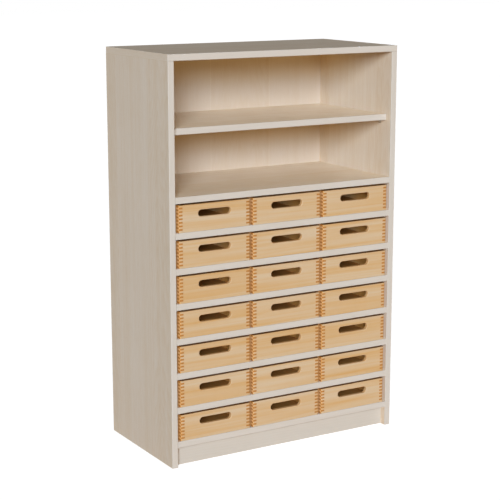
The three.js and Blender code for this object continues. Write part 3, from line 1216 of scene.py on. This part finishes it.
# %% Fingers
def finger_notches(tree, given):
    pitch = twice(tree, given["Finger Height"])
    reach = calc(tree, "MULTIPLY", pitch, calc(tree, "SUBTRACT", given["Fingers"], 1.0))
    lowest = calc(tree, "SUBTRACT", half(tree, given["Height"]), half(tree, reach))
    line = {
        "Count": given["Fingers"],
        "Start Location": join_axes(tree, z=lowest),
        "Offset": join_axes(tree, z=pitch),
    }
    places = add(tree, "GeometryNodeMeshLine", line).outputs[0]
    notch_width = twice(tree, given["Wall"])
    notch = size_block(tree, notch_width, notch_width, given["Finger Height"])
    notches = add(tree, "GeometryNodeInstanceOnPoints", {"Points": places, "Instance": notch}).outputs[0]
    return add(tree, "GeometryNodeRealizeInstances", {"Geometry": notches}).outputs[0]


def fingered_boards(tree, given):
    width, depth, height, wall = (given[name] for name in ("Width", "Depth", "Height", "Wall"))
    half_wall = half(tree, wall)
    half_height = half(tree, height)
    right_end = half(tree, width)
    notches = finger_notches(tree, given)
    right_notches = shift(tree, notches, x=right_end)
    left_notches = shift(tree, notches, x=negative(tree, right_end))
    blank = shift(tree, size_block(tree, width, wall, height), z=half_height)
    comb = cut_away(tree, blank, [right_notches, left_notches])
    front = shift(tree, comb, y=half_wall)
    rear = shift(tree, comb, y=calc(tree, "SUBTRACT", depth, half_wall))
    side_blank = shift(tree, size_block(tree, wall, depth, height), y=half(tree, depth), z=half_height)
    right_place = calc(tree, "SUBTRACT", right_end, half_wall)
    right = cut_away(tree, shift(tree, side_blank, x=right_place), [front, rear])
    left = cut_away(tree, shift(tree, side_blank, x=negative(tree, right_place)), [front, rear])
    return front, rear, left, right


print("finger rules ready")

# %% Slot, corners and groove
SLOT_STEPS = 10
SLOT_WALLS_DEEP = 3.0
CORNER_STEPS = 4
QUARTER_TURN = math.pi / 2


def cut_slot(tree, given, front):
    round_end = half(tree, given["Slot Height"])
    through = calc(tree, "MULTIPLY", given["Wall"], SLOT_WALLS_DEEP)
    slot = rounded_slab(tree, given["Slot Width"], given["Slot Height"], round_end, through, SLOT_STEPS)
    upright = {
        "Geometry": slot,
        "Translation": join_axes(tree, 0.0, twice(tree, given["Wall"]), given["Slot Middle"]),
        "Rotation": (QUARTER_TURN, 0.0, 0.0),
    }
    return cut_away(tree, front, [add(tree, "GeometryNodeTransform", upright).outputs[0]])


def tray_envelope(tree, given):
    width, depth = given["Width"], given["Depth"]
    middle = half(tree, depth)
    slab = rounded_slab(tree, width, depth, given["Corner"], given["Height"], CORNER_STEPS)
    inset = twice(tree, calc(tree, "SUBTRACT", given["Groove Depth"], given["Wall"]))
    groove_width = calc(tree, "ADD", width, inset)
    groove_depth = calc(tree, "ADD", depth, inset)
    groove = size_block(tree, groove_width, groove_depth, given["Groove Height"])
    groove_middle = calc(tree, "ADD", half(tree, given["Groove Height"]), given["Groove Lift"])
    return cut_away(tree, shift(tree, slab, y=middle), [shift(tree, groove, y=middle, z=groove_middle)])


print("steps on a slot's corner:", SLOT_STEPS)

# %% [markdown]
# What a tray board remembers.
#
# Each board stores its grain with a random shift drawn from the tree's seed, so that all trays differ, and
# how high and how far behind the front each point lies. Faces that look along the grain are marked as end
# grain, apart from the slot's own ends. The amber mark tells where painted warm shade goes: fully inside,
# half on the outer sides, about half in the grip slot, and not at all on the front. Painting such masks by
# hand would take a brush to every tray.

# %% Grain of a tray board
BOARDS_IN_TRAY = 4
LOG_SEED = 3
PITH_NEAR = (0.0, -0.07, 0.045)
PITH_FAR = (9.0, 0.02, 0.085)


def store_value(tree, geometry, name, value, data_type, domain):
    values = {"Geometry": geometry, "Name": name, "Value": value}
    kind = {"data_type": data_type, "domain": domain}
    return add(tree, "GeometryNodeStoreNamedAttribute", values, **kind).outputs[0]


def mesh_place(tree):
    return add(tree, "GeometryNodeInputPosition").outputs[0]


def store_grain(tree, geometry, given, along, number):
    axes = split_axes(tree, mesh_place(tree))
    order = (axes[X], axes[Z], axes[Y]) if along == X else (axes[Y], axes[Z], axes[X])
    own_seed = add_scaled(tree, given["Seed"], float(BOARDS_IN_TRAY), float(number))
    limits = {"Min": PITH_NEAR, "Max": PITH_FAR, "ID": own_seed, "Seed": LOG_SEED}
    pith = add(tree, "FunctionNodeRandomValue", limits, data_type="FLOAT_VECTOR").outputs[0]
    grain = calc_vector(tree, "ADD", join_axes(tree, *order), pith)
    geometry = store_value(tree, geometry, "grain", grain, "FLOAT_VECTOR", "POINT")
    rise = calc(tree, "DIVIDE", axes[Z], given["Height"])
    geometry = store_value(tree, geometry, "rise", rise, "FLOAT", "POINT")
    return store_value(tree, geometry, "behind", axes[Y], "FLOAT", "POINT")


print("boards in a tray:", BOARDS_IN_TRAY)

# %% Faces of a tray board
TURNED = 0.7
NEAR = 0.05 * MM
SLOT_MARGIN = 0.6


def near(tree, value, limit):
    return calc(tree, "LESS_THAN", calc(tree, "ABSOLUTE", value), limit)


def faces_inwards(tree, given, place, normal):
    middle = join_axes(tree, 0.0, half(tree, given["Depth"]), half(tree, given["Height"]))
    values = {0: normal, 1: calc_vector(tree, "SUBTRACT", place, middle)}
    outward = add(tree, "ShaderNodeVectorMath", values, operation="DOT_PRODUCT").outputs["Value"]
    return calc(tree, "LESS_THAN", outward, 0.0)


def store_faces(tree, geometry, given, along):
    place = mesh_place(tree)
    normal = add(tree, "GeometryNodeInputNormal").outputs[0]
    axes, facing = split_axes(tree, place), split_axes(tree, normal)
    cut = calc(tree, "GREATER_THAN", calc(tree, "ABSOLUTE", facing[along]), TURNED)
    by_slot = near(tree, axes[X], calc(tree, "MULTIPLY", given["Slot Width"], SLOT_MARGIN))
    end_grain = both(tree, cut, opposite(tree, by_slot))
    geometry = store_value(tree, geometry, "end_grain", end_grain, "FLOAT", "FACE")
    in_front = both(tree, calc(tree, "LESS_THAN", facing[Y], -TURNED), near(tree, axes[Y], NEAR))
    at_slot_height = near(tree, calc(tree, "SUBTRACT", axes[Z], given["Slot Middle"]), given["Slot Height"])
    in_slot = both(tree, both(tree, at_slot_height, by_slot), near(tree, facing[Y], TURNED))
    outside = calc(tree, "MULTIPLY", opposite(tree, in_front), SIDE_AMBER)
    # The amber mark says where painted warm shade goes: inward faces, half outside, less in the slot.
    amber = calc(tree, "MAXIMUM", faces_inwards(tree, given, place, normal), outside)
    amber = add_scaled(tree, in_slot, SLOT_AMBER, both(tree, amber, opposite(tree, in_slot)))
    return store_value(tree, geometry, "amber", amber, "FLOAT", "FACE")


print("amber outside and in the slot:", SIDE_AMBER, SLOT_AMBER)

# %% [markdown]
# Rounded edges of a tray.
#
# A sanded tray has no sharp edge. The grip's rim is rounded most, the long arrises a little, and the
# fingers barely. One bevel for all would either swallow the fingers or leave the grip sharp, so the tree
# gives each edge a weight and a bevel that reads the weights follows it.

# %% Edges of a tray board
SHARP_ANGLE = 0.5
LONG_EDGE = 60.0 * MM
LONG_SHARE = 0.30
FINGER_SHARE = 0.05


def on_slot_rim(tree, given):
    axes = split_axes(tree, mesh_place(tree))
    half_wall = half(tree, given["Wall"])
    from_middle = calc(tree, "ABSOLUTE", calc(tree, "SUBTRACT", axes[Y], half_wall))
    on_face = near(tree, calc(tree, "SUBTRACT", from_middle, half_wall), NEAR)
    half_length = calc(tree, "ADD", half(tree, given["Slot Width"]), NEAR)
    half_rise = calc(tree, "ADD", half(tree, given["Slot Height"]), NEAR)
    lift = calc(tree, "SUBTRACT", axes[Z], given["Slot Middle"])
    in_slot = both(tree, near(tree, axes[X], half_length), near(tree, lift, half_rise))
    return both(tree, on_face, in_slot)


def store_rounding(tree, geometry, given):
    angle = add(tree, "GeometryNodeInputMeshEdgeAngle").outputs["Unsigned Angle"]
    sharp = calc(tree, "GREATER_THAN", angle, SHARP_ANGLE)
    ends = add(tree, "GeometryNodeInputMeshEdgeVertices").outputs
    gap = calc_vector(tree, "SUBTRACT", ends["Position 1"], ends["Position 2"])
    long_edge = calc(tree, "GREATER_THAN", vector_length(tree, gap), LONG_EDGE)
    share = calc(tree, "MAXIMUM", calc(tree, "MULTIPLY", long_edge, LONG_SHARE), FINGER_SHARE)
    weight = both(tree, sharp, calc(tree, "MAXIMUM", share, on_slot_rim(tree, given)))
    return store_value(tree, geometry, "bevel_weight_edge", weight, "FLOAT", "EDGE")


print("rounding of a long edge and a finger, in shares of the rim:", LONG_SHARE, FINGER_SHARE)

# %% [markdown]
# The tray tree.
#
# The rules above are put together in one tree with a named input for each size. Four separate trees could
# make the four boards, but in one tree the fingers of the sides come from the front and the rear, so they
# always fit. The tree ends in Realize Instances and Set Material, because only real faces with a finish are
# exported.

# %% Put the tray tree together
TRAY_LENGTHS = ("Width", "Depth", "Height", "Wall", "Corner", "Finger Height")
SLOT_LENGTHS = ("Slot Width", "Slot Height", "Slot Middle")
GROOVE_LENGTHS = ("Groove Lift", "Groove Height", "Groove Depth")


def make_tray_tree():
    inputs = {name: FLOAT for name in TRAY_LENGTHS + SLOT_LENGTHS + GROOVE_LENGTHS}
    inputs.update({"Fingers": INT, "Seed": INT, "Wood": MATERIAL})
    tree, given, out = new_group("Finger-jointed tray", "GeometryNodeTree", inputs, {"Boards": GEOMETRY})
    front, rear, left, right = fingered_boards(tree, given)
    slotted = cut_slot(tree, given, front)
    envelope = tray_envelope(tree, given)
    boards = []
    for number, (board, along) in enumerate(((slotted, X), (rear, X), (left, Y), (right, Y))):
        trimmed = common_part(tree, board, envelope)
        grained = store_grain(tree, trimmed, given, along, number)
        boards.append(store_faces(tree, grained, given, along))
    joined = add(tree, "GeometryNodeJoinGeometry", {"Geometry": boards}).outputs[0]
    smooth = add(tree, "GeometryNodeSetShadeSmooth", {"Geometry": joined}).outputs[0]
    weighted = store_rounding(tree, smooth, given)
    real = add(tree, "GeometryNodeRealizeInstances", {"Geometry": weighted}).outputs[0]
    dressed = add(tree, "GeometryNodeSetMaterial", {"Geometry": real, "Material": given["Wood"]}).outputs[0]
    tree.links.new(dressed, out["Boards"])
    return tree


tray_tree = make_tray_tree()
print("tray tree nodes:", len(tray_tree.nodes))

# %% [markdown]
# From a tree to plain meshes.
#
# A modifier carries the tree on an empty mesh. Its inputs are set by their identifiers before anything is
# evaluated, and the evaluated result is copied to a plain mesh, so that the finished piece carries no
# modifier. Set Material puts its finish behind an empty first slot, which is dropped, and a bevel's finish
# comes after it.

# %% Run a tree
BEVEL_SLOT = 2
BEVEL_STEPS = 3


def add_bevel(carrier, width, finish):
    for _ in range(BEVEL_SLOT + 1):
        carrier.data.materials.append(finish)
    soften = carrier.modifiers.new("soften", "BEVEL")
    soften.limit_method = "WEIGHT"
    soften.width = width
    soften.segments = BEVEL_STEPS
    soften.use_clamp_overlap = False
    soften.harden_normals = True
    soften.material = BEVEL_SLOT


def run_tree(tree, values, rounding=0.0, round_finish=None):
    carrier = bpy.data.objects.new("carrier", bpy.data.meshes.new("carrier"))
    bpy.context.scene.collection.objects.link(carrier)
    modifier = carrier.modifiers.new("tree", "NODES")
    modifier.node_group = tree
    sockets = [item for item in tree.interface.items_tree if item.in_out == "INPUT"]
    identifiers = {socket.name: socket.identifier for socket in sockets}
    for name, value in values.items():
        modifier[identifiers[name]] = value
    if rounding:
        add_bevel(carrier, rounding, round_finish)
    evaluated = carrier.evaluated_get(bpy.context.evaluated_depsgraph_get())
    mesh = bpy.data.meshes.new_from_object(evaluated)
    if rounding:
        mesh.materials.append(round_finish)
    mesh.materials.pop(index=0)
    remove_object(carrier)
    return mesh


print("steps on a bevel:", BEVEL_STEPS)

# %% [markdown]
# The trays.
#
# Every tray is the same box with its own seed. Its outer sizes, its groove and its bottom come from the
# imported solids. A tray's box and its bottom ride on the same body, so they slide out together. One mesh
# used many times would be lighter, but then every tray would show the same boards.

# %% Make the trays
TRAY_WALL = 13.0 * MM
TRAY_CORNER = 3.0 * MM
TRAY_FINGERS = 7
FINGERS_LEFT_OVER = 1.5
SLOT_WIDTH = 107.0 * MM
SLOT_HEIGHT = 20.0 * MM
SLOT_DROP = 18.5 * MM
GROOVE_PLAY = 0.3 * MM
RIM_ROUND = 2.4 * MM
BOTTOM_SPREAD = 80.0 * MM
BOTTOM_BURY = 50.0 * MM
tray_nodes = [node.removesuffix("_frame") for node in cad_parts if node.endswith("_frame")]


def make_tray(tray, seed):
    low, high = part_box(tray + "_frame")
    base_low, base_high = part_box(tray + "_bottom")
    width, depth, height = high - low
    values = {
        "Width": width,
        "Depth": depth,
        "Height": height,
        "Wall": TRAY_WALL,
        "Corner": TRAY_CORNER,
        "Fingers": TRAY_FINGERS,
        "Finger Height": height / (2 * TRAY_FINGERS + FINGERS_LEFT_OVER),
        "Slot Width": SLOT_WIDTH,
        "Slot Height": SLOT_HEIGHT,
        "Slot Middle": height - SLOT_DROP - SLOT_HEIGHT / 2,
        "Groove Lift": base_low[Z] - low[Z] - GROOVE_PLAY,
        "Groove Height": base_high[Z] - base_low[Z] + 2 * GROOVE_PLAY,
        "Groove Depth": (base_high[X] - base_low[X] - width) / 2 + TRAY_WALL + GROOVE_PLAY,
        "Seed": seed,
        "Wood": pine,
    }
    mesh = run_tree(tray_tree, values, RIM_ROUND, pine_rubbed)
    mesh.name = tray + "_box"
    mesh.transform(Matrix.Translation(((low[X] + high[X]) / 2, low[Y], low[Z])))
    return show_piece(tray + "_box", mesh, [tray + "_frame"], tray)


def make_tray_bottom(tray):
    low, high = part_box(tray + "_bottom")
    store = new_store()
    in_log = log_place(low, high, Y, X, BOTTOM_SPREAD, BOTTOM_BURY)
    keep(store, ease(block(low, high), EASE, EASE_STEPS), FACE_FINISH, in_log)
    return make_piece(tray + "_base", store, [plywood], [tray + "_bottom"], tray)


for number, tray in enumerate(tray_nodes):
    box = make_tray(tray, number)
    make_tray_bottom(tray)
print("trays:", len(tray_nodes), "faces in one:", len(box.data.polygons))

# %% [markdown]
# Shelf supports.
#
# Under the loose shelf, four small angles of plated sheet steel hang by a peg in the side. Each has a bent
# ledge, a rounded inner corner, and the riveted end of its peg shows on the plate. Two thin boxes would
# give the same ledge without the bend, so the angle's section is drawn as a short outline with an arc and
# pushed through its width.

# %% Angle and peg
METAL = 2.0 * MM
BEND = 1.5 * METAL
BEND_STEPS = 6
SUPPORT_REACH = 10.0 * MM
PEG_RADIUS = 2.5 * MM
PEG_SIDES = 20
METAL_EASE = 0.35 * MM


def ease_metal(shape):
    return ease(shape, METAL_EASE, EASE_STEPS, lambda edge: edge.calc_face_angle() > SHARP_ANGLE)


def angle_outline(wall_x, inward, under, top):
    tip = wall_x + inward * SUPPORT_REACH
    face = wall_x + inward * METAL
    points = [(wall_x, under), (face, under)]
    for step in range(BEND_STEPS + 1):
        turn = QUARTER_TURN * step / BEND_STEPS
        bend_x = face + inward * BEND * (1 - math.cos(turn))
        bend_z = top - METAL - BEND * (1 - math.sin(turn))
        points.append((bend_x, bend_z))
    points += [(tip, top - METAL), (tip, top), (wall_x, top)]
    return points


def angle_shape(outline, near_y, far_y):
    shape = bmesh.new()
    near_ring = [shape.verts.new((x, near_y, z)) for x, z in outline]
    far_ring = [shape.verts.new((x, far_y, z)) for x, z in outline]
    shape.faces.new(near_ring)
    shape.faces.new(far_ring[::-1])
    for k in range(len(outline)):
        after = (k + 1) % len(outline)
        shape.faces.new((near_ring[k], far_ring[k], far_ring[after], near_ring[after]))
    bmesh.ops.recalc_face_normals(shape, faces=shape.faces)
    return ease_metal(shape)


def peg_shape(start, end, y, z):
    shape = bmesh.new()
    turned = Matrix.Translation(((start + end) / 2, y, z)) @ Matrix.Rotation(QUARTER_TURN, 4, "Y")
    size = {"radius1": PEG_RADIUS, "radius2": PEG_RADIUS, "depth": abs(end - start), "segments": PEG_SIDES}
    bmesh.ops.create_cone(shape, cap_ends=True, matrix=turned, **size)
    return ease_metal(shape)


print("sheet and bend of a support in mm:", METAL / MM, BEND / MM)

# %% Make the supports
RIVET_RISE = 0.4 * METAL
support_nodes = [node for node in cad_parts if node.startswith("shelf_support_")]


def make_support(node):
    low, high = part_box(node)
    wall_x, inward = (inner_left, 1.0) if node.endswith("left") else (inner_right, -1.0)
    peg_end = low[X] if inward > 0 else high[X]
    middle_y = (low[Y] + high[Y]) / 2
    peg_z = low[Z] + (high[Z] - low[Z] - METAL) / 2
    rivet = wall_x + inward * METAL
    outline = angle_outline(wall_x, inward, low[Z], high[Z])
    store = new_store()
    keep(store, angle_shape(outline, low[Y], high[Y]), FACE_FINISH)
    keep(store, peg_shape(wall_x, peg_end, middle_y, peg_z), FACE_FINISH)
    keep(store, peg_shape(rivet, rivet + inward * RIVET_RISE, middle_y, peg_z), FACE_FINISH)
    return make_piece(node + "_angle", store, [nickel], [node], "cabinet")


for support_node in support_nodes:
    make_support(support_node)
print("supports:", len(support_nodes))

# %% [markdown]
# Screws in the back.
#
# The back panel lies in a rebate and is held by small pan-head screws, set round its border into the sides,
# the top and the bottom shelf, with one more row into the fixed shelf. Each could be placed by hand, but a
# row of equal things along a path is what Geometry Nodes do best: a rectangle is resampled at a spacing and
# a head is placed on each point, turned by a random angle as screws end up.

# %% Screw head
HEAD_SIDES = 20
CROWN_SHARE = 0.72
CROSS_SINK = 1.2


def screw_head(tree, given):
    cone = {
        "Vertices": HEAD_SIDES,
        "Radius Top": calc(tree, "MULTIPLY", given["Head Radius"], CROWN_SHARE),
        "Radius Bottom": given["Head Radius"],
        "Depth": given["Head Height"],
    }
    head = add(tree, "GeometryNodeMeshCone", cone).outputs["Mesh"]
    deep = calc(tree, "MULTIPLY", given["Head Height"], CROSS_SINK)
    arm = size_block(tree, given["Cross Length"], given["Cross Width"], deep)
    other_arm = size_block(tree, given["Cross Width"], given["Cross Length"], deep)
    arms = [shift(tree, shape, z=given["Head Height"]) for shape in (arm, other_arm)]
    return cut_away(tree, head, arms)


print("sides of a screw head:", HEAD_SIDES)

# %% Screw tree
SCREW_LENGTHS = ("Width", "Height", "Row Height", "Spacing")
HEAD_LENGTHS = ("Head Radius", "Head Height", "Cross Width", "Cross Length")


def screw_places(tree, given):
    size = {"Width": given["Width"], "Height": given["Height"]}
    border = add(tree, "GeometryNodeCurvePrimitiveQuadrilateral", size).outputs[0]
    border = shift(tree, border, y=half(tree, given["Height"]))
    right_end = calc(tree, "SUBTRACT", half(tree, given["Width"]), given["Spacing"])
    row_ends = {
        "Start": join_axes(tree, negative(tree, right_end), given["Row Height"]),
        "End": join_axes(tree, right_end, given["Row Height"]),
    }
    row = add(tree, "GeometryNodeCurvePrimitiveLine", row_ends).outputs[0]
    paths = add(tree, "GeometryNodeJoinGeometry", {"Geometry": [border, row]}).outputs[0]
    every = {"Curve": paths, "Length": given["Spacing"]}
    return add(tree, "GeometryNodeResampleCurve", every, mode="LENGTH").outputs[0]


def make_screw_tree():
    inputs = {name: FLOAT for name in SCREW_LENGTHS + HEAD_LENGTHS}
    inputs.update({"Seed": INT, "Metal": MATERIAL})
    tree, given, out = new_group("Screws on a border", "GeometryNodeTree", inputs, {"Screws": GEOMETRY})
    limits = {"Min": 0.0, "Max": math.pi, "Seed": given["Seed"]}
    turn = add(tree, "FunctionNodeRandomValue", limits, data_type="FLOAT").outputs[1]
    spread = {
        "Points": screw_places(tree, given),
        "Instance": screw_head(tree, given),
        "Rotation": join_axes(tree, z=turn),
    }
    screws = add(tree, "GeometryNodeInstanceOnPoints", spread).outputs[0]
    upright = {"Geometry": screws, "Rotation": (QUARTER_TURN, 0.0, math.pi)}
    screws = add(tree, "GeometryNodeTransform", upright).outputs[0]
    real = add(tree, "GeometryNodeRealizeInstances", {"Geometry": screws}).outputs[0]
    dressed = add(tree, "GeometryNodeSetMaterial", {"Geometry": real, "Material": given["Metal"]}).outputs[0]
    tree.links.new(dressed, out["Screws"])
    return tree


screw_tree = make_screw_tree()
print("screw tree nodes:", len(screw_tree.nodes))

# %% Place the screws
SCREW_SPACING = 165.0 * MM
SCREW_SEED = 5
HEAD_RADIUS = 3.4 * MM
HEAD_HEIGHT = 1.3 * MM
CROSS_WIDTH = 0.9 * MM
CROSS_LENGTH = 3.8 * MM


def make_screws():
    shelf_low, shelf_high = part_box("bottom_shelf")
    fixed_low, fixed_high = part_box("fixed_shelf")
    lowest = (shelf_low[Z] + shelf_high[Z]) / 2
    highest = (top_low[Z] + back_high[Z]) / 2
    side_middle = (back_high[X] + inner_right) / 2
    values = {
        "Width": 2 * side_middle,
        "Height": highest - lowest,
        "Row Height": (fixed_low[Z] + fixed_high[Z]) / 2 - lowest,
        "Spacing": SCREW_SPACING,
        "Head Radius": HEAD_RADIUS,
        "Head Height": HEAD_HEIGHT,
        "Cross Width": CROSS_WIDTH,
        "Cross Length": CROSS_LENGTH,
        "Seed": SCREW_SEED,
        "Metal": zinc,
    }
    mesh = run_tree(screw_tree, values)
    mesh.name = "back_screws"
    mesh.transform(Matrix.Translation((0.0, back_high[Y] + HEAD_HEIGHT / 2, lowest)))
    return show_piece("back_screws", mesh, [], "cabinet")


screws = make_screws()
print("faces on the screws:", len(screws.data.polygons))
